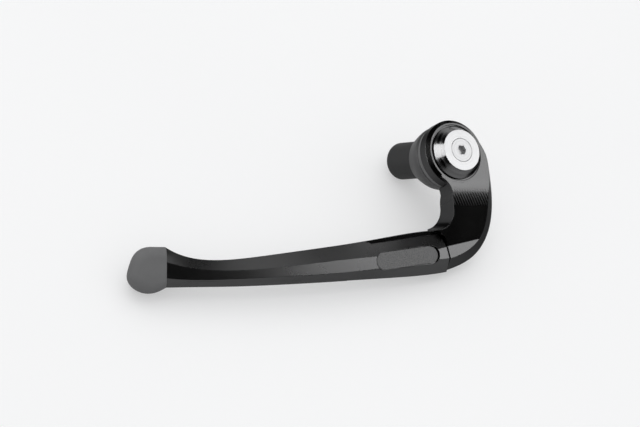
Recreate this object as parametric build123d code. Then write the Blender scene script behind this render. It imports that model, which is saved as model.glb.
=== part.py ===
from build123d import *
import os
from math import cos, radians, sin, tan

# Bar-end lever guard, in millimetres.
# It is drawn in the frame of its eyelet: X across the eyelet face, Y up it, Z out through the clamp cap.
# At the end every piece is turned to the way the guard lies on a table, with +Z up.

# Eyelet of the arm and its stack of clamp pieces
EYELET_RADIUS = 15.5
EYELET_THICK = 6.0
EYELET_BORE = 4.0
EYELET_BEVEL = 1.6
EYELET_SINK = 0.5
EYELET_SINK_RADIUS = 13.0
CAP_BASE_RADIUS = 12.3
CAP_FACE_RADIUS = 9.4
CAP_HEIGHT = 4.9
CAP_RIM_STEP = 0.9
SCREW_HEAD_RADIUS = 5.4
SCREW_HEAD_HEIGHT = 2.8
SCREW_RADIUS = 2.5
SCREW_END = 13.5
SCREW_HEX = 4.0
SCREW_HEX_DEPTH = 2.2
SCREW_ROOM = 0.2
WASHER_RADIUS = 14.9
WASHER_THICK = 2.6
SEAT = -EYELET_THICK - WASHER_THICK

# Bar-end plug, inclined to the clamp screw and measured from its seat on the washer
PLUG_TILT = 15.5
PLUG_TURN = -50.6
COLLAR_RADIUS = 14.6
COLLAR_STRAIGHT = 3.0
COLLAR_START = -6.0
COLLAR_WAIST = (13.4, 8.0)
COLLAR_SLOPE = 0.55
COLLAR_GROOVE = 1.3
COLLAR_SEAT_FLARE = 45.0
SHOULDER_AT = 13.0
SHOULDER_RADIUS = 10.8
SLEEVE_RADIUS = 8.6
SLEEVE_END = 32.8
SLEEVE_ROUND = 3.6
BOLT_RADIUS = 2.5
BOLT_START = 8.0
BOLT_HEAD_RADIUS = 4.25
BOLT_HEAD_HEIGHT = 5.0
BOLT_HEX = 4.0
BOLT_HEX_DEPTH = 2.6

# Arm, swept inward below the eyelet
ARM_THICK = 11.0
SWEEP = 14.0
SWEEP_START = -18.0
SWEEP_RADIUS = 45.0
ARM_BEVEL_DEPTH = 4.2
ARM_BEVEL_WIDTH = 5.4
POCKET_RADIUS = 15.2
THIN_START = -9.0
# Outer edge of the hook on the swept plane, the lean of its bevel in degrees
# and the bevel's share of its full width
HOOK_EDGE = [
    (11.0, 25.3), (15.8, 17.5), (18.3, 7.1), (19.5, -5.0),
    (17.2, -18.7), (10.6, -28.0), (0.7, -33.4), (-9.0, -36.0),
]
HOOK_LEAN = [-36, -8, -8, 2, 22, 53, 68, 76]
BEVEL_SHARE = [0.3, 0.45, 0.7, 0.95, 1.0, 0.97, 0.84, 0.83]
# Inner edge of the hook: its root behind the blade, the inside corner and the throat below the eyelet
ROOT_TOP = (-11.0, -17.0)
CORNER_MIDDLE = (-6.0, -14.0)
CORNER_END = (-4.2, -7.5)
THROAT_START = (-4.6, -1.0)
THROAT_MIDDLE = (-6.0, 3.0)
THROAT_END = (-9.6, 6.2)
SLAB_TOP = 30.0
SLAB_DROP = 60.0
FACET_LINE = [(7.2, -21.7, 0.0), (-6.9, -24.3, 0.0)]
TONGUE_DEPTH = 4.6
TONGUE_END = 46.0

# Blade, curved inward along its length
# Each section of the blade: how far along it lies, the height and depth of its top edge, the heights
# of the badge facet's upper and lower edges, how proud the lower one stands, the height and depth
# of its bottom edge, the thickness and how far the back's edges draw in
BLADE_SECTIONS = [
    (-4.0, -18.0, 5.0, -23.9, -29.7, 1.2, -35.8, 3.4, 10.0, 1.5),
    (38.0, -21.9, 5.0, -28.7, -34.1, 1.0, -38.5, 3.4, 9.6, 1.6),
    (72.0, -26.2, 4.4, -31.9, -36.3, 0.8, -39.9, 3.0, 9.2, 1.6),
    (104.0, -29.4, 3.4, -33.6, -37.4, 0.5, -40.6, 2.6, 8.8, 1.6),
    (118.0, -28.2, 3.6, -32.3, -37.4, 0.5, -40.6, 2.6, 9.4, 1.6),
    (128.0, -23.9, 4.2, -30.0, -36.6, 0.6, -40.7, 3.0, 11.0, 1.8),
]
BLADE_END = BLADE_SECTIONS[-1][0]
SEAM_AT = 9.0
BLADE_CURVE = 480.0
# Seam between the blade and the arm, on the swept plane, from the blade's upper corner to below it,
# and the left end of the ledge along the blade's top edge, over which the arm's tongue shows
SEAM_CURVE = [
    (-12.2, -19.2), (-9.7, -20.1), (-8.6, -23.0), (-8.1, -25.1), (-7.5, -28.7), (-6.4, -33.4), (-5.4, -39.0),
]
SEAM_GAP = 0.7
LEDGE_END = (-44.1, -23.1)
LEDGE_STEP = (-46.8, -21.0)
FACET_LEAN = 12.0
BADGE_CENTRE = (19.0, -29.2)
BADGE_LENGTH = 32.0
BADGE_HEIGHT = 8.2
BADGE_SLOPE = 6.7
BADGE_PROUD = 0.5
BADGE_DEPTH = 1.4
BADGE_PLATE = 0.9
BADGE_ROOM = 0.4
BADGE_SHIFT = 0.3
PEG_RADIUS = 3.0
PEG_LENGTH = 7.0
PEG_HEIGHT = -32.3
# Side outline of the tip, as height and distance past the blade's end
TIP_TOP = (-23.9, 0.0)
TIP_CURVE = [(-24.0, 7.6), (-28.2, 13.0), (-34.2, 14.7), (-40.2, 12.0), (-42.7, 6.3)]
TIP_BOTTOM = (-40.8, 0.0)
TIP_THICK = 12.8
TIP_DEPTH = 5.4
TIP_ROUND = 4.6
FIXING_AT = (12.0, 30.0)
FIXING_HEAD_RADIUS = 4.0
FIXING_HEAD_HEIGHT = 2.4
FIXING_RADIUS = 2.0
FIXING_TIP_DEPTH = 2.2
FIXING_SEAT = 9.4
SPOT_RADIUS = 4.4
FIXING_HEX = 2.5
FIXING_HEX_DEPTH = 1.2
FIXING_HEIGHT = -27.6
FIXING_DROP = 0.115

# Way up when the guard lies on its plug, the hook and the tip, seen from the eyelet's frame
REST_UP = (-0.135, 0.4086, 0.9027)

# Sizes of cutting blocks, larger than what they cut
REACH = 300.0
CUT = 40.0
OVER = 2.0

ARM_PLANE = Plane(
    origin=(0, SWEEP_START, 0),
    x_dir=(1, 0, 0),
    z_dir=(0, -sin(radians(SWEEP)), cos(radians(SWEEP))),
)


def plug_frame():
    """Frame on the washer, under the eyelet's centre, whose Z runs down the bar-end plug."""
    tilt, turn = radians(PLUG_TILT), radians(PLUG_TURN)
    down = (-sin(tilt) * cos(turn), -sin(tilt) * sin(turn), -cos(tilt))
    return Plane(origin=(0, 0, SEAT), x_dir=(0, 1, 0), z_dir=down)


def turned(points):
    """Solid of revolution about Z from a closed outline of (radius, height) points."""
    outline = make_face(Polyline(*[(r, 0, z) for r, z in points], close=True))
    return revolve(outline, Axis.Z)


def hex_socket(across, depth, top):
    """Hexagonal prism that hangs down from a height."""
    shape = extrude(RegularPolygon(across / 2, 6, major_radius=False), -depth)
    return Pos(0, 0, top) * shape


def blade_plane(along):
    """Section plane on the curved blade: X up the blade, Y into it, Z towards the tip."""
    angle = along / BLADE_CURVE
    origin = ARM_PLANE.from_local_coords(
        (-SEAM_AT - BLADE_CURVE * sin(angle), 0, BLADE_CURVE * (cos(angle) - 1))
    )
    up = ARM_PLANE.y_dir
    towards_tip = ARM_PLANE.x_dir * -cos(angle) - ARM_PLANE.z_dir * sin(angle)
    return Plane(origin=origin, x_dir=up, z_dir=towards_tip)


def arm_outline():
    """Hook from the eyelet to its root behind the blade, drawn on the swept plane."""
    outer = Spline(*HOOK_EDGE)
    root = Line(outer @ 1, ROOT_TOP)
    corner = ThreePointArc(root @ 1, CORNER_MIDDLE, CORNER_END)
    neck = Line(corner @ 1, THROAT_START)
    throat = ThreePointArc(neck @ 1, THROAT_MIDDLE, THROAT_END)
    close = Polyline(throat @ 1, (THROAT_END[0], HOOK_EDGE[0][1]), HOOK_EDGE[0])
    return make_face([outer, root, corner, neck, throat, close])


def arm_plane_at(height):
    """Plane parallel to the arm's swept face, at a height over it."""
    return Plane(ARM_PLANE.origin + ARM_PLANE.z_dir * height, ARM_PLANE.x_dir, ARM_PLANE.z_dir)


def outer_bevel():
    """Block whose right and lower side follow the hook and slope back at the front."""
    def side(inset):
        edge = Spline(*[
            (x - inset * share * cos(radians(lean)), y + inset * share * sin(radians(lean)))
            for (x, y), lean, share in zip(HOOK_EDGE, HOOK_LEAN, BEVEL_SHARE)
        ])
        far, high = -2 * CUT, 2 * CUT
        rest = Polyline(edge @ 1, (far, (edge @ 1).Y), (far, high), ((edge @ 0).X, high), edge @ 0)
        return make_face([edge, rest])
    back = arm_plane_at(-ARM_BEVEL_DEPTH)
    front = arm_plane_at(OVER)
    inset = ARM_BEVEL_WIDTH * (ARM_BEVEL_DEPTH + OVER) / ARM_BEVEL_DEPTH
    sloped = loft([back * side(0), front * side(inset)], ruled=True)
    straight = extrude(back * side(0), -CUT)
    return sloped + straight


def arm_slab():
    """Plate with a flat eyelet end that rolls inward below the eyelet."""
    turn = radians(SWEEP)
    roll = SWEEP_RADIUS * tan(turn / 2)
    front_start = (SWEEP_START + roll, 0)
    front_end = (SWEEP_START - roll * cos(turn), -roll * sin(turn))
    low_front = (SWEEP_START - SLAB_DROP * cos(turn), -SLAB_DROP * sin(turn))
    low_back = (low_front[0] + ARM_THICK * sin(turn), low_front[1] - ARM_THICK * cos(turn))
    back_end = (front_end[0] + ARM_THICK * sin(turn), front_end[1] - ARM_THICK * cos(turn))
    front = Line((SLAB_TOP, 0), front_start)
    roll_front = TangentArc(front @ 1, front_end, tangent=(-1, 0))
    lower = Polyline(roll_front @ 1, low_front, low_back, back_end)
    thinning = Spline(lower @ 1, (THIN_START, -EYELET_THICK), tangents=[(cos(turn), sin(turn)), (1, 0)])
    upper = Polyline(thinning @ 1, (SLAB_TOP, -EYELET_THICK), (SLAB_TOP, 0))
    return extrude(Plane.YZ * make_face([front, roll_front, lower, thinning, upper]), REACH / 2, both=True)


def facet_wedge():
    """Ground under the badge facet: a plane that rises out of the arm's face below the facet line."""
    line_start, line_end = [Vector(*point) for point in FACET_LINE]
    along = (line_end - line_start).normalized()
    lean = radians(FACET_LEAN)
    facet_up = along.cross(Vector(0, 0, 1))
    normal = Vector(0, 0, 1) * cos(lean) + facet_up * sin(lean)
    plane = ARM_PLANE * Plane(origin=line_start, x_dir=along, z_dir=normal)
    return extrude(plane * Rectangle(REACH / 2, REACH / 2), -ARM_THICK / 2)


def seam_side(gap):
    """Everything towards the tip from the curved seam and under the ledge, widened by a gap."""
    seam = Spline(*[(x + gap, y) for x, y in SEAM_CURVE])
    far, low = -REACH / 2, SEAM_CURVE[-1][1]
    ledge = Polyline(seam @ 1, (far, low), (far, 0), (LEDGE_STEP[0], 0), LEDGE_STEP, LEDGE_END, seam @ 0)
    return extrude(ARM_PLANE * make_face([seam, ledge]), CUT, both=True)


def blade_body(upper_facet):
    """Faceted bar from the seam to the tip: three facets in front, or only two without the upper facet."""
    def section(along, top, top_drop, upper, lower, proud, bottom, bottom_drop, thick, back_in):
        flat = [] if upper_facet else [(top, 0)]
        front = [(upper, 0), (lower, -proud), (bottom, bottom_drop)]
        back = [(bottom + back_in, thick), (top - back_in, thick)]
        return blade_plane(along) * make_face(Polyline((top, top_drop), *flat, *front, *back, close=True))
    return loft([section(*values) for values in BLADE_SECTIONS])


def badge_frame():
    """Frame on the badge facet: X along the blade towards the seam, Z out of the facet."""
    place = blade_plane(BADGE_CENTRE[0])
    lean = radians(FACET_LEAN)
    out = place.y_dir * -cos(lean) + place.x_dir * sin(lean)
    slope = radians(BADGE_SLOPE)
    along = place.z_dir * -cos(slope) + place.x_dir * sin(slope)
    return Plane(origin=place.from_local_coords((BADGE_CENTRE[1], -BADGE_PROUD, 0)), x_dir=along, z_dir=out)


def badge_block(height, room):
    """Stadium-shaped block on the floor of the badge recess, with some room around it."""
    frame = badge_frame()
    base = Plane(frame.origin - frame.z_dir * BADGE_DEPTH, frame.x_dir, frame.z_dir)
    return extrude(base * SlotOverall(BADGE_LENGTH - 2 * room, BADGE_HEIGHT - 2 * room), height)


def fixing_frames():
    """Frames of the two screws that hold the blade, at the tongue's back, Z out of the back."""
    frames = []
    for along in FIXING_AT:
        place = blade_plane(along)
        middle = FIXING_HEIGHT - FIXING_DROP * along
        origin = place.from_local_coords((middle, FIXING_SEAT, 0))
        frames.append(Plane(origin=origin, x_dir=place.x_dir, z_dir=place.y_dir))
    return frames


def tongue_space():
    """Room behind the blade's root, curved like the blade, that the arm's tongue takes up."""
    box = Pos(-TONGUE_END + REACH / 2, -CUT) * Rectangle(REACH, 2 * CUT)
    disc = Pos(-SEAM_AT, -BLADE_CURVE) * Circle(BLADE_CURVE - TONGUE_DEPTH)
    level = Plane(ARM_PLANE.origin, x_dir=ARM_PLANE.x_dir, z_dir=-ARM_PLANE.y_dir)
    return extrude(level * (box & disc), 2 * CUT, both=True)


def guard_arm():
    """Machined arm: eyelet, swept hook and the tongue behind the blade."""
    prism = extrude(ARM_PLANE * arm_outline(), CUT, both=True)
    plate = prism & (arm_slab() + facet_wedge()) & outer_bevel()
    plate -= seam_side(SEAM_GAP) - tongue_space()
    plate += blade_body(False) & tongue_space()
    pocket = extrude(Plane((0, 0, -EYELET_THICK)) * Circle(POCKET_RADIUS), -REACH)
    plate -= pocket
    eyelet = extrude(Circle(EYELET_RADIUS), -EYELET_THICK)
    eyelet = chamfer(eyelet.edges().group_by(Axis.Z)[-1], EYELET_BEVEL)
    arm = plate + eyelet
    arm -= extrude(Circle(EYELET_SINK_RADIUS), -EYELET_SINK)
    arm -= extrude(Circle(EYELET_BORE), REACH, both=True)
    for frame in fixing_frames():
        arm -= frame * extrude(Circle(FIXING_RADIUS), -CUT)
        arm -= frame * extrude(Circle(SPOT_RADIUS), ARM_THICK / 2)
        arm -= frame * Cone(FIXING_RADIUS, FIXING_HEAD_RADIUS, FIXING_HEAD_HEIGHT,
                            align=(Align.CENTER, Align.CENTER, Align.MAX))
    return arm


def guard_blade():
    """Faceted blade with its badge recess, screw holes and the peg that carries the tip."""
    blade = blade_body(True) - tongue_space()
    blade &= seam_side(0)
    blade -= badge_block(ARM_THICK, 0)
    end = blade_plane(BLADE_END)
    blade += end * (Pos(PEG_HEIGHT, TIP_DEPTH, 0) * extrude(Circle(PEG_RADIUS), PEG_LENGTH))
    for frame in fixing_frames():
        blade -= frame * extrude(Circle(FIXING_RADIUS), FIXING_TIP_DEPTH - FIXING_SEAT)
    return blade


def tip_cap():
    """Moulded tip with a straight top, a round nose and soft edges, and a blind hole for the blade's peg."""
    end = blade_plane(BLADE_END)
    side = Plane(end.from_local_coords((0, TIP_DEPTH, 0)), x_dir=end.x_dir, z_dir=-end.y_dir)
    top = Line(TIP_TOP, TIP_CURVE[0])
    nose = Spline(*TIP_CURVE, tangents=[(0, 1), (TIP_BOTTOM[0] - TIP_CURVE[-1][0], -TIP_CURVE[-1][1])])
    close = Polyline(nose @ 1, TIP_BOTTOM, TIP_TOP)
    tip = side * extrude(make_face([top, nose, close]), TIP_THICK / 2, both=True)
    rims = [edge for edge in tip.edges() if abs(end.to_local_coords(edge).center().Z) > TIP_ROUND / 4]
    tip = fillet(rims, TIP_ROUND)
    return tip - end * (Pos(PEG_HEIGHT, TIP_DEPTH, 0) * extrude(Circle(PEG_RADIUS), PEG_LENGTH))


def clamp_cap():
    """Turned conical cap with a countersink for the clamp screw."""
    bore, sink = SCREW_RADIUS + SCREW_ROOM, SCREW_HEAD_RADIUS + SCREW_ROOM / 2
    cap = turned([
        (bore, 0), (CAP_BASE_RADIUS, 0), (CAP_BASE_RADIUS, CAP_RIM_STEP),
        (CAP_FACE_RADIUS, CAP_HEIGHT), (sink, CAP_HEIGHT), (bore, CAP_HEIGHT - SCREW_HEAD_HEIGHT),
    ])
    return Pos(0, 0, -EYELET_SINK) * cap


def clamp_screw():
    """Countersunk socket screw, flush in the cap and threaded into the collar."""
    screw = turned([
        (0, -SCREW_END), (SCREW_RADIUS, -SCREW_END), (SCREW_RADIUS, CAP_HEIGHT - SCREW_HEAD_HEIGHT),
        (SCREW_HEAD_RADIUS, CAP_HEIGHT), (0, CAP_HEIGHT),
    ])
    return Pos(0, 0, -EYELET_SINK) * (screw - hex_socket(SCREW_HEX, SCREW_HEX_DEPTH, CAP_HEIGHT))


def seat_washer():
    """Thin washer between the eyelet and the collar's inclined seat."""
    ring = Circle(WASHER_RADIUS) - Circle(EYELET_BORE)
    return Pos(0, 0, -EYELET_THICK) * extrude(ring, -WASHER_THICK)


def bar_end_collar():
    """Flared collar with an inclined seat, a groove beside the washer and a shoulder for the bar's end."""
    frame = plug_frame()
    flare = Spline((COLLAR_RADIUS, 0, COLLAR_STRAIGHT), (COLLAR_WAIST[0], 0, COLLAR_WAIST[1]),
                   (SHOULDER_RADIUS, 0, SHOULDER_AT), tangents=[(0, 0, 1), (-COLLAR_SLOPE, 0, 1)])
    ends = [(0, 0, SHOULDER_AT), (0, 0, COLLAR_START), (COLLAR_RADIUS, 0, COLLAR_START)]
    rest = Polyline(flare @ 1, *ends, flare @ 0)
    body = frame * revolve(make_face([flare, rest]), Axis.Z)
    seat = Plane((0, 0, SEAT)) * Circle(WASHER_RADIUS - COLLAR_GROOVE)
    body &= extrude(seat, -CUT, taper=-COLLAR_SEAT_FLARE)
    body -= extrude(Circle(SCREW_RADIUS), -SCREW_END - EYELET_SINK)
    body -= frame * (Pos(0, 0, BOLT_START) * extrude(Circle(BOLT_RADIUS), REACH))
    return body


def expander_sleeve():
    """Rubber sleeve with a rounded end, squeezed by the bolt until it grips the inside of the bar."""
    head_seat = SLEEVE_END - BOLT_HEAD_HEIGHT
    sleeve = Pos(0, 0, SHOULDER_AT) * extrude(Circle(SLEEVE_RADIUS), SLEEVE_END - SHOULDER_AT)
    sleeve = fillet(sleeve.edges().group_by(Axis.Z)[-1], SLEEVE_ROUND)
    sleeve -= Pos(0, 0, SHOULDER_AT) * extrude(Circle(BOLT_RADIUS), REACH)
    sleeve -= Pos(0, 0, head_seat) * extrude(Circle(BOLT_HEAD_RADIUS), REACH)
    return plug_frame() * sleeve


def expander_bolt():
    """Socket-head bolt through the sleeve, threaded into the collar."""
    head_seat = SLEEVE_END - BOLT_HEAD_HEIGHT
    bolt = turned([
        (0, BOLT_START), (BOLT_RADIUS, BOLT_START), (BOLT_RADIUS, head_seat), (BOLT_HEAD_RADIUS, head_seat),
        (BOLT_HEAD_RADIUS, SLEEVE_END), (0, SLEEVE_END),
    ])
    return plug_frame() * (bolt - hex_socket(BOLT_HEX, BOLT_HEX_DEPTH, SLEEVE_END))


def blade_screws():
    """Two countersunk screws through the tongue into the blade."""
    screws = []
    reach = FIXING_SEAT - FIXING_TIP_DEPTH
    for frame in fixing_frames():
        screw = turned([
            (0, -reach), (FIXING_RADIUS, -reach), (FIXING_RADIUS, -FIXING_HEAD_HEIGHT),
            (FIXING_HEAD_RADIUS, 0), (0, 0),
        ])
        screws.append(frame * (screw - hex_socket(FIXING_HEX, FIXING_HEX_DEPTH, 0)))
    return Compound(screws)


def badge_plate():
    """Bare inlay that lies in the blade's badge recess."""
    return Pos(badge_frame().x_dir * -BADGE_SHIFT) * badge_block(BADGE_PLATE, BADGE_ROOM)


PIECES = {
    "guard_arm": guard_arm,
    "guard_blade": guard_blade,
    "badge_plate": badge_plate,
    "tip_cap": tip_cap,
    "blade_screws": blade_screws,
    "clamp_cap": clamp_cap,
    "clamp_screw": clamp_screw,
    "seat_washer": seat_washer,
    "bar_end_collar": bar_end_collar,
    "expander_sleeve": expander_sleeve,
    "expander_bolt": expander_bolt,
}


def rest_location(shapes):
    """Turn from the eyelet's frame to the lying guard, centred over the origin with its foot at zero."""
    up = Vector(*REST_UP).normalized()
    along = Vector(1, 0, 0)
    along = (along - up * along.dot(up)).normalized()
    turn = Plane(origin=(0, 0, 0), x_dir=along, z_dir=up).location.inverse()
    box = Compound([turn * shape for shape in shapes]).bounding_box()
    return Pos(-box.center().X, -box.center().Y, -box.min.Z) * turn


def main():
    os.makedirs("parts", exist_ok=True)
    shapes = {name: make() for name, make in PIECES.items()}
    rest = rest_location(shapes.values())
    for name, shape in shapes.items():
        export_step(rest * shape, f"parts/{name}.step")


main()
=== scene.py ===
import math

import bpy
import numpy as np
from mathutils import Matrix, Vector


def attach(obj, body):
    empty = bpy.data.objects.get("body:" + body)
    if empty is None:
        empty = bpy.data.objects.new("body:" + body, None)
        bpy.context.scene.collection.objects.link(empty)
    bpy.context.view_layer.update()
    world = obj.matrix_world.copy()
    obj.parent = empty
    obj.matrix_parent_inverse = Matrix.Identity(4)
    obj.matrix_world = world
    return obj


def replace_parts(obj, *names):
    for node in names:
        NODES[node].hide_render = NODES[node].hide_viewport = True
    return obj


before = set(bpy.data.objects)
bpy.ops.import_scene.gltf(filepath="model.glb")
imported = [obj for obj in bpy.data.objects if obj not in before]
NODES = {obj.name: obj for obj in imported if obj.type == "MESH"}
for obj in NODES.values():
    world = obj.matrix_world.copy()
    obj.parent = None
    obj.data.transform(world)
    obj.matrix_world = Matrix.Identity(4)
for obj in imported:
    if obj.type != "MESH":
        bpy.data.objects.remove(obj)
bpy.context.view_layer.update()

# The eyelet's own axes and centre in the row frame: across its face, up it, and out through the cap
EYELET = Vector((0.0681121, 0.0076581, 0.0368647))
ACROSS = Vector((0.9909, 0.0, -0.135))
UPWARD = Vector((0.0557, 0.911, 0.4086))
OUTWARD = Vector((0.123, -0.4124, 0.9027))

# Camera: the image's width and focal length in pixels, its axes in the eyelet's axes, and where
# the eyelet's centre lies in the camera's own axes, in metres
IMAGE_WIDTH = 640
FOCAL_PIXELS = 1505
SENSOR = 36.0
NEAREST_SEEN = 0.01
CAMERA_RIGHT = (0.871, -0.116, 0.477)
CAMERA_BACK = (-0.491, -0.206, 0.846)
EYELET_SEEN = (0.0612, 0.02735, 0.6749)

# Reflected panels: name, direction from the eyelet in its axes, distance, width and height, radiance
PANELS = [
    ("key", (0.435, 0.16, 0.885), 1.3, (0.90, 0.42), 5.0),
    ("upper", (0.04, 0.75, 0.66), 1.3, (0.9, 0.42), 1.44),
    ("side", (-0.94, 0.22, 0.20), 1.0, (0.34, 0.92), 9.2),
    ("back", (0.0, 0.97, -0.2), 1.0, (0.8, 0.26), 1.28),
]
# The soft light above, which only lights matte surfaces, and the even surround
OVERHEAD_SIZE = (2.2, 2.2)
OVERHEAD_POWER = 9
OVERHEAD_PLACE = (0.05, 0.75, 1.6)
SURROUND = (0.98, 0.99, 1.0, 1)
SURROUND_STRENGTH = 0.72
# The paper floor: its size, tones, scale of its mottling, finish, and the glow that eye and gloss see
FLOOR_SIZE = 12
FLOOR_TONES = (0.60, 0.60, 0.602), (0.62, 0.62, 0.622)
FLOOR_PATCHES = 3
FLOOR_ROUGHNESS = 0.9
FLOOR_SPECULAR = 0.1
FLOOR_GLOW = 0.38

# Share of a noise that runs from a finish's low value to its high one
NOISE_LOW, NOISE_HIGH = 0.3, 0.7
# Rounding that edges show, and the samples that find it
EDGE_ROUND = 0.0003
TURNED_EDGE_ROUND = 0.0002
EDGE_SAMPLES = 6
# Metal's grain and the moulded skin: scale, height and strength. Then the detail of fine noise and of
# mottling, the scales of mottling and of the badge's speckle, and how far the roughness varies
GRAIN_SCALE, GRAIN_HEIGHT, GRAIN_STRENGTH = 2600, 0.00002, 0.35
SKIN_SCALE, SKIN_HEIGHT, SKIN_STRENGTH = 3200, 0.00003, 0.5
FINE_DETAIL = 2
PATCH_DETAIL = 3
METAL_PATCHES = 90
BADGE_SPECKLE = 2200
METAL_SPREAD = 0.015
RUBBER_PATCHES = 160
RUBBER_SPREAD = 0.04
RUBBER_SPECULAR = 0.3
# Turned marks: rings to the metre, detail, height, strength, darkest share of the colour and roughness
RINGS = 1300
RING_DETAIL = 4
RING_HEIGHT, RING_STRENGTH = 0.00002, 0.4
RING_SHADE = 0.76
RING_SPREAD = 0.06
# The cap's face: its radius, half the width of its change to the flank, its metal share and gloss
CAP_FACE_RADIUS = 0.0094
CAP_FACE_FADE = 0.0001
FACE_METALLIC = 0.3
FACE_SPECULAR = 0.1
# Cutter marks on the arm's roll: pitch, slant, the zone below the eyelet, its fade and their roughness
RIPPLE_PITCH = 0.0014
RIPPLE_SLANT = 0.5
RIPPLE_ZONE = (-0.0245, -0.0165)
RIPPLE_FADE = 0.0012
RIPPLE_ROUGHNESS = 0.14

# The arm's plane below the eyelet, and the circle along which the blade bends inward from the seam
SWEEP = math.radians(14)
SWEEP_START = -0.018
SEAM_AT = 0.009
BLADE_CURVE = 0.48
BLADE_END = 0.128
# The blade's low sections: how far along, height and proudness of the lower facet's upper edge,
# height and depth of the bottom edge, thickness and how far the back's edge draws in, in millimetres
LOW_SECTIONS = np.array([
    (-4.0, -29.7, 1.2, -35.8, 3.4, 10.0, 1.5),
    (38.0, -34.1, 1.0, -38.5, 3.4, 9.6, 1.6),
    (72.0, -36.3, 0.8, -39.9, 3.0, 9.2, 1.6),
    (104.0, -37.4, 0.5, -40.6, 2.6, 8.8, 1.6),
    (118.0, -37.4, 0.5, -40.6, 2.6, 9.4, 1.6),
    (128.0, -36.6, 0.6, -40.7, 3.0, 11.0, 1.8),
]) / 1000
# Lower edge: the height at which the solid blade ends, how far the strip laps over it and stands proud
# of it, where it starts along the blade, and its steps along, down the facet and up the underside
BLADE_CUT = -0.039
STRIP_LAP = 0.0008
STRIP_PROUD = 0.00003
STRIP_START = 0.0475
STRIP_STEPS, FACET_STEPS, UNDER_STEPS = 90, 5, 4
# The tip's outline as height and distance past the blade's end, in millimetres, clockwise from its top
TIP_OUTLINE = np.array([
    (-23.95, 0.0), (-23.9, 4.0), (-24.1, 8.0), (-26.4, 12.0), (-32.0, 14.7), (-37.4, 15.4),
    (-41.2, 12.8), (-43.1, 8.0), (-42.6, 3.6), (-40.9, 0.0),
]) / 1000
# Tip: height of its middle, reach, half height, depth of its middle, half thickness, rim rounding,
# and its steps around the outline and over the rim
TIP_MIDDLE = -0.033
TIP_REACH = 0.0154
TIP_HALF_HEIGHT = 0.0096
TIP_DEPTH = 0.0054
TIP_HALF_THICK = 0.0064
TIP_ROUND = 0.0046
OUTLINE_STEPS, RIM_STEPS = 121, 13
SHARP_ANGLE = math.radians(40)


def eyelet_vector(across, up, out):
    """Direction or offset in the row frame from its three parts in the eyelet's axes."""
    return ACROSS * across + UPWARD * up + OUTWARD * out


def blade_sections(along):
    """Blade's sections at distances s along its circle of radius R: the angle is s / R, the origin moves by
    R (cos - 1) outward and -R sin across, and up, inward and tipward directions turn with it."""
    angle = (np.asarray(along) / BLADE_CURVE)[..., None]
    across = np.array(ACROSS)
    up = np.array(eyelet_vector(0, math.cos(SWEEP), math.sin(SWEEP)))
    out = np.array(eyelet_vector(0, -math.sin(SWEEP), math.cos(SWEEP)))
    start = np.array(EYELET + eyelet_vector(-SEAM_AT, SWEEP_START, 0))
    origin = start + BLADE_CURVE * (out * (np.cos(angle) - 1) - across * np.sin(angle))
    tipward = -across * np.cos(angle) - out * np.sin(angle)
    return origin, up, np.cross(tipward, up), tipward


def spline(places, values, wanted):
    """Natural cubic spline: its second derivatives m solve
    h0 m0 + 2 (h0 + h1) m1 + h1 m2 = 6 (slope1 - slope0) over each two steps h0 and h1."""
    steps = np.diff(places)
    inner = np.arange(1, len(places) - 1)
    system = np.eye(len(places))
    system[inner, inner - 1] = steps[:-1]
    system[inner, inner] = 2 * (steps[:-1] + steps[1:])
    system[inner, inner + 1] = steps[1:]
    right = np.zeros_like(values)
    right[1:-1] = 6 * np.diff(np.diff(values, axis=0) / steps[:, None], axis=0)
    bend = np.linalg.solve(system, right)
    i = np.clip(np.searchsorted(places, wanted) - 1, 0, len(steps) - 1)
    step = steps[i][:, None]
    before = (places[i + 1] - wanted)[:, None] / step
    after = 1 - before
    curve = (before ** 3 - before) * bend[i] + (after ** 3 - after) * bend[i + 1]
    return before * values[i] + after * values[i + 1] + curve * step ** 2 / 6


def closed_body(name, rings, material):
    """Closed skin over a stack of rings: quads between neighbours and a fan to the middle of each end."""
    count, around = rings.shape[:2]
    points = np.concatenate([rings.reshape(-1, 3), rings[[0, -1]].mean(axis=1)])
    one = np.arange(around)
    other = np.roll(one, -1)
    base = np.arange(count - 1)[:, None] * around
    quads = np.stack([base + other, base + one, base + around + one, base + around + other], axis=-1)
    top = (count - 1) * around
    first_fan = np.stack([np.full(around, count * around), one, other], axis=-1)
    last_fan = np.stack([np.full(around, count * around + 1), top + other, top + one], axis=-1)
    mesh = bpy.data.meshes.new(name)
    faces = quads.reshape(-1, 4).tolist() + first_fan.tolist() + last_fan.tolist()
    mesh.from_pydata(points.tolist(), [], faces)
    mesh.polygons.foreach_set("use_smooth", np.ones(len(mesh.polygons), dtype=bool))
    mesh.set_sharp_from_angle(angle=SHARP_ANGLE)
    mesh.materials.append(material)
    mesh.update()
    piece = bpy.data.objects.new(name, mesh)
    bpy.context.scene.collection.objects.link(piece)
    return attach(piece, "root")


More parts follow.
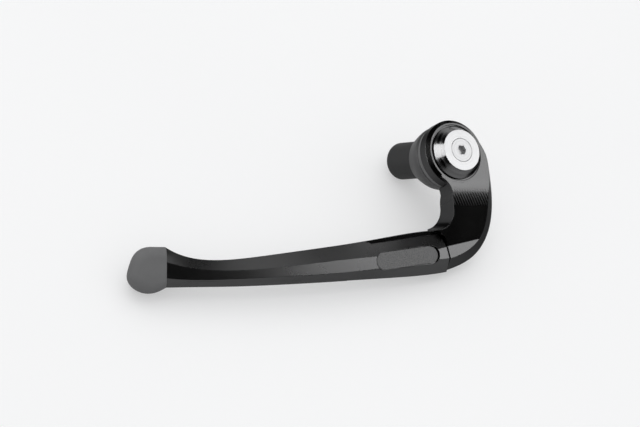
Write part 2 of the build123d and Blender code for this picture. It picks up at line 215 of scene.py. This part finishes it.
def tip_rings():
    """Tip: its outline p(t) drawn in as the rim rounds over. With q from 0 to pi/2, heights scale by
    1 - r (1 - cos q) / half height and reaches by 1 - r (1 - cos q) / reach,
    at depth +-(d - r + r sin q)."""
    ends = np.concatenate([[0], np.cumsum(np.linalg.norm(np.diff(TIP_OUTLINE, axis=0), axis=1))])
    height, reach = spline(ends, TIP_OUTLINE, np.linspace(0, ends[-1], OUTLINE_STEPS)).T
    turn = np.linspace(0, math.pi / 2, RIM_STEPS)
    inset = TIP_ROUND * (1 - np.cos(turn))
    depth = TIP_HALF_THICK - TIP_ROUND + TIP_ROUND * np.sin(turn)
    inset = np.concatenate([inset[::-1], inset])[:, None]
    depth = np.concatenate([-depth[::-1], depth])[:, None]
    height = TIP_MIDDLE + (height - TIP_MIDDLE) * (1 - inset / TIP_HALF_HEIGHT)
    reach = reach * (1 - inset / TIP_REACH)
    depth = TIP_DEPTH + depth + np.zeros_like(height)
    origin, up, inward, tipward = blade_sections(BLADE_END)
    return origin + height[..., None] * up + depth[..., None] * inward + reach[..., None] * tipward


def lower_edge_rings():
    """Blade's lower edge: down the lower facet, (1 - q) upper edge + q bottom edge, from just above the
    solid's end, back up its underside to that end, and closed inside the blade. Its sections follow
    the blade's circle."""
    along = np.linspace(STRIP_START, BLADE_END, STRIP_STEPS)
    sections = spline(LOW_SECTIONS[:, 0], LOW_SECTIONS[:, 1:], along)
    upper, proud, bottom, drop, thick, back_in = sections.T[..., None]
    start = (upper - BLADE_CUT - STRIP_LAP) / (upper - bottom)
    share = start + (1 - start) * np.linspace(0, 1, FACET_STEPS)
    back = np.linspace(0, 1, UNDER_STEPS)[1:] * (BLADE_CUT - bottom + STRIP_PROUD) / back_in
    height = np.concatenate([upper + (bottom - upper) * share, bottom + back_in * back], axis=1)
    facet_depth = (drop + proud) * share - proud - STRIP_PROUD
    depth = np.concatenate([facet_depth, drop + (thick - drop) * back], axis=1)
    origin, up, inward, _ = blade_sections(along)
    return origin[:, None] + height[..., None] * up + depth[..., None] * inward[:, None]


def new_material(name):
    """Empty node material with its shader and its output."""
    material = bpy.data.materials.new(name)
    material.use_nodes = True
    tree = material.node_tree
    tree.nodes.clear()
    out = tree.nodes.new("ShaderNodeOutputMaterial")
    shader = tree.nodes.new("ShaderNodeBsdfPrincipled")
    tree.links.new(shader.outputs[0], out.inputs[0])
    return material, tree, shader


def add_node(tree, kind, **values):
    """Node of a kind with its properties and input values set."""
    node = tree.nodes.new("ShaderNode" + kind)
    for key, value in values.items():
        if key in node.inputs.keys():
            node.inputs[key].default_value = value
        else:
            setattr(node, key, value)
    return node


def object_noise(tree, scale, detail=PATCH_DETAIL):
    """Noise in object coordinates."""
    coords = add_node(tree, "TexCoord")
    noise = add_node(tree, "TexNoise", Scale=scale, Detail=detail)
    tree.links.new(coords.outputs["Object"], noise.inputs["Vector"])
    return noise.outputs["Fac"]


def ranged(tree, value, low, high, start=NOISE_LOW, end=NOISE_HIGH):
    """Value mapped linearly from start..end to low..high."""
    node = add_node(tree, "MapRange")
    node.inputs["From Min"].default_value = start
    node.inputs["From Max"].default_value = end
    node.inputs["To Min"].default_value = low
    node.inputs["To Max"].default_value = high
    tree.links.new(value, node.inputs["Value"])
    return node.outputs["Result"]


def blended(tree, value, low, high):
    """Colour that runs from low to high with a value."""
    ramp = add_node(tree, "ValToRGB")
    first, last = ramp.color_ramp.elements
    first.color, first.position = (*low, 1), NOISE_LOW
    last.color, last.position = (*high, 1), NOISE_HIGH
    tree.links.new(value, ramp.inputs["Fac"])
    return ramp.outputs["Color"]


def combined(tree, operation, first, second):
    """Result of arithmetic on two values, each a socket or a number."""
    node = add_node(tree, "Math", operation=operation)
    for socket, value in zip(node.inputs, (first, second)):
        if isinstance(value, (int, float)):
            socket.default_value = value
        else:
            tree.links.new(value, socket)
    return node.outputs["Value"]


def from_eyelet(tree):
    """Offset from the eyelet's centre, from object coordinates."""
    coords = add_node(tree, "TexCoord")
    offset = add_node(tree, "VectorMath", operation="SUBTRACT")
    offset.inputs[1].default_value = EYELET
    tree.links.new(coords.outputs["Object"], offset.inputs[0])
    return offset.outputs[0]


def eyelet_part(tree, axis):
    """Distance from the eyelet's centre along an axis."""
    part = add_node(tree, "VectorMath", operation="DOT_PRODUCT")
    part.inputs[1].default_value = axis
    tree.links.new(from_eyelet(tree), part.inputs[0])
    return part.outputs["Value"]


def eyelet_radius(tree):
    """Distance from the eyelet's axis: the length of the offset crossed with the axis."""
    across = add_node(tree, "VectorMath", operation="CROSS_PRODUCT")
    across.inputs[1].default_value = OUTWARD
    radius = add_node(tree, "VectorMath", operation="LENGTH")
    tree.links.new(from_eyelet(tree), across.inputs[0])
    tree.links.new(across.outputs[0], radius.inputs[0])
    return radius.outputs["Value"]


def roll_ripples(tree):
    """Cutter marks where the arm rolls inward: sin(2 pi (u + slant w) / pitch) faded in and out along w."""
    across, up = eyelet_part(tree, ACROSS), eyelet_part(tree, UPWARD)
    slanted = combined(tree, "ADD", across, combined(tree, "MULTIPLY", up, RIPPLE_SLANT))
    wave = combined(tree, "SINE", combined(tree, "MULTIPLY", slanted, 2 * math.pi / RIPPLE_PITCH), 0)
    low, high = RIPPLE_ZONE
    fade_in = ranged(tree, up, 0, 1, low, low + RIPPLE_FADE)
    fade_out = ranged(tree, up, 1, 0, high - RIPPLE_FADE, high)
    zone = combined(tree, "MULTIPLY", fade_in, fade_out)
    return combined(tree, "MULTIPLY", combined(tree, "MULTIPLY", wave, zone), RIPPLE_ROUGHNESS)


def bumped(tree, shader, height, distance, strength, edge):
    """Bump on a shader, over edges rounded by a small radius."""
    bump = add_node(tree, "Bump", Strength=strength, Distance=distance)
    tree.links.new(height, bump.inputs["Height"])
    if edge:
        bevel = add_node(tree, "Bevel", samples=EDGE_SAMPLES, Radius=edge)
        tree.links.new(bevel.outputs["Normal"], bump.inputs["Normal"])
    tree.links.new(bump.outputs["Normal"], shader.inputs["Normal"])


def anodised(name, low, high, rough, metallic, patch=METAL_PATCHES, edge_tint=1.0, ripples=False,
             edge=EDGE_ROUND):
    """Anodised metal: slight mottling of its colour and roughness, a fine grain and broken edges."""
    material, tree, shader = new_material(name)
    shader.inputs["Metallic"].default_value = metallic
    shader.inputs["Specular Tint"].default_value = (edge_tint, edge_tint, edge_tint, 1)
    patches = object_noise(tree, patch)
    tree.links.new(blended(tree, patches, low, high), shader.inputs["Base Color"])
    roughness = ranged(tree, patches, rough - METAL_SPREAD, rough + METAL_SPREAD)
    if ripples:
        roughness = combined(tree, "ADD", roughness, roll_ripples(tree))
    tree.links.new(roughness, shader.inputs["Roughness"])
    grain = object_noise(tree, GRAIN_SCALE, FINE_DETAIL)
    bumped(tree, shader, grain, GRAIN_HEIGHT, GRAIN_STRENGTH, edge)
    return material


def rubber(name, low, high, rough):
    """Matte moulded surface with a fine, uneven skin."""
    material, tree, shader = new_material(name)
    shader.inputs["Specular IOR Level"].default_value = RUBBER_SPECULAR
    patches = object_noise(tree, RUBBER_PATCHES)
    tree.links.new(blended(tree, patches, low, high), shader.inputs["Base Color"])
    roughness = ranged(tree, patches, rough - RUBBER_SPREAD, rough + RUBBER_SPREAD)
    tree.links.new(roughness, shader.inputs["Roughness"])
    skin = object_noise(tree, SKIN_SCALE, FINE_DETAIL)
    bumped(tree, shader, skin, SKIN_HEIGHT, SKIN_STRENGTH, EDGE_ROUND)
    return material


def turned(name, face, flank, rough):
    """Turned metal: concentric tool marks about the eyelet's axis, a bright face and a darker flank."""
    material, tree, shader = new_material(name)
    shader.inputs["Specular IOR Level"].default_value = FACE_SPECULAR
    radius = eyelet_radius(tree)
    outside = ranged(tree, radius, 0, 1, CAP_FACE_RADIUS - CAP_FACE_FADE, CAP_FACE_RADIUS + CAP_FACE_FADE)
    tree.links.new(ranged(tree, outside, FACE_METALLIC, 1.0, 0, 1), shader.inputs["Metallic"])
    noise = add_node(tree, "TexNoise", noise_dimensions="1D", Scale=RINGS, Detail=RING_DETAIL)
    tree.links.new(radius, noise.inputs["W"])
    marks = noise.outputs["Fac"]
    tinted = add_node(tree, "VectorMath", operation="MULTIPLY")
    tree.links.new(blended(tree, outside, face, flank), tinted.inputs[0])
    tree.links.new(ranged(tree, marks, RING_SHADE, 1.0), tinted.inputs[1])
    tree.links.new(tinted.outputs[0], shader.inputs["Base Color"])
    roughness = ranged(tree, marks, rough - RING_SPREAD, rough + RING_SPREAD)
    tree.links.new(roughness, shader.inputs["Roughness"])
    bumped(tree, shader, marks, RING_HEIGHT, RING_STRENGTH, TURNED_EDGE_ROUND)
    return material


def assign(node, material):
    """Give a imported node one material."""
    for slot in NODES[node].material_slots:
        slot.link = "OBJECT"
        slot.material = material


def dress():
    """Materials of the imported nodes, and the two pieces that are shaped here."""
    black = anodised("black_anodised", (0.054, 0.054, 0.0545), (0.061, 0.061, 0.0615), 0.22, 1.0,
                     edge_tint=0.38, ripples=True)
    blade_tones = (0.065, 0.065, 0.0656), (0.0725, 0.0725, 0.0732)
    blade = anodised("blade_anodised", *blade_tones, 0.28, 1.0, edge_tint=0.4)
    lower_edge = anodised("blade_edge_anodised", *blade_tones, 0.28, 1.0, edge_tint=0.4, edge=0.0)
    badge = anodised("badge_satin", (0.035, 0.035, 0.0355), (0.115, 0.115, 0.116), 0.45, 0.0,
                     patch=BADGE_SPECKLE)
    collar = anodised("collar_satin", (0.056, 0.056, 0.0565), (0.068, 0.068, 0.0685), 0.55, 0.15)
    bolt = anodised("black_oxide", (0.02, 0.02, 0.021), (0.035, 0.035, 0.036), 0.35, 0.6)
    tip = rubber("tip_polymer", (0.145, 0.145, 0.146), (0.162, 0.162, 0.163), 0.82)
    sleeve = rubber("sleeve_rubber", (0.024, 0.024, 0.0245), (0.03, 0.03, 0.0306), 0.65)
    washer = anodised("washer_satin", (0.11, 0.11, 0.111), (0.13, 0.13, 0.131), 0.5, 0.15)
    cap = turned("cap_turned", (0.5, 0.5, 0.505), (0.115, 0.115, 0.116), 0.2)
    screw = turned("screw_bright", (0.48, 0.48, 0.485), (0.115, 0.115, 0.116), 0.22)
    for node, material in {
        "guard_arm": black, "guard_blade": blade, "badge_plate": badge, "tip_cap": tip,
        "blade_screws": bolt, "clamp_cap": cap, "clamp_screw": screw, "seat_washer": washer,
        "bar_end_collar": collar, "expander_sleeve": sleeve, "expander_bolt": bolt,
    }.items():
        assign(node, material)
    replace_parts(closed_body("tip_moulding", tip_rings(), tip), "tip_cap")
    closed_body("blade_lower_edge", lower_edge_rings(), lower_edge)


def area_light(name, size, power):
    """Rectangular soft light, not yet placed."""
    data = bpy.data.lights.new(name, "AREA")
    data.shape = "RECTANGLE"
    data.size, data.size_y = size
    data.energy = power
    light = bpy.data.objects.new(name, data)
    bpy.context.scene.collection.objects.link(light)
    return light


def axes(right, up, back, place):
    """Matrix that puts an object at a place with its own axes along three directions."""
    return Matrix((
        (right.x, up.x, back.x, place.x),
        (right.y, up.y, back.y, place.y),
        (right.z, up.z, back.z, place.z),
        (0, 0, 0, 1),
    ))


def panel(name, direction, distance, size, radiance):
    """Light panel seen from the eyelet in a direction, upright to the eyelet, with a set radiance."""
    light = area_light(name, size, radiance * math.pi * size[0] * size[1])
    back = eyelet_vector(*direction).normalized()
    up = (UPWARD - back * UPWARD.dot(back)).normalized()
    light.matrix_world = axes(up.cross(back), up, back, EYELET + back * distance)
    light.visible_diffuse = False


def studio():
    """Pale floor, an even pale surround and soft lights."""
    bpy.ops.mesh.primitive_plane_add(size=FLOOR_SIZE, location=(0, 0, 0))
    floor = bpy.context.object
    floor.name = "floor"
    material, tree, shader = new_material("floor_paper")
    paper = blended(tree, object_noise(tree, FLOOR_PATCHES, FINE_DETAIL), *FLOOR_TONES)
    tree.links.new(paper, shader.inputs["Base Color"])
    shader.inputs["Emission Color"].default_value = (1, 1, 1, 1)
    path = add_node(tree, "LightPath")
    seen = combined(tree, "MAXIMUM", path.outputs["Is Camera Ray"], path.outputs["Is Glossy Ray"])
    tree.links.new(combined(tree, "MULTIPLY", seen, FLOOR_GLOW), shader.inputs["Emission Strength"])
    shader.inputs["Roughness"].default_value = FLOOR_ROUGHNESS
    shader.inputs["Specular IOR Level"].default_value = FLOOR_SPECULAR
    floor.data.materials.append(material)
    world = bpy.data.worlds.new("studio")
    world.use_nodes = True
    background = world.node_tree.nodes["Background"]
    background.inputs["Color"].default_value = SURROUND
    background.inputs["Strength"].default_value = SURROUND_STRENGTH
    bpy.context.scene.world = world
    world.cycles_visibility.glossy = False
    for values in PANELS:
        panel(*values)
    overhead = area_light("overhead", OVERHEAD_SIZE, OVERHEAD_POWER)
    overhead.location = OVERHEAD_PLACE
    overhead.rotation_euler = (-overhead.location).to_track_quat("-Z", "Y").to_euler()
    overhead.visible_glossy = False


def camera():
    """Camera at the photograph's place, looking as it did."""
    right = eyelet_vector(*CAMERA_RIGHT).normalized()
    back = eyelet_vector(*CAMERA_BACK)
    back = (back - right * back.dot(right)).normalized()
    up = back.cross(right)
    place = EYELET - right * EYELET_SEEN[0] - up * EYELET_SEEN[1] + back * EYELET_SEEN[2]
    data = bpy.data.cameras.new("camera")
    data.sensor_width = SENSOR
    data.lens = SENSOR * FOCAL_PIXELS / IMAGE_WIDTH
    data.clip_start = NEAREST_SEEN
    eye = bpy.data.objects.new("camera", data)
    bpy.context.scene.collection.objects.link(eye)
    eye.matrix_world = axes(right, up, back, place)
    bpy.context.scene.camera = eye


dress()
studio()
camera()
bpy.context.scene.view_settings.view_transform = "Standard"
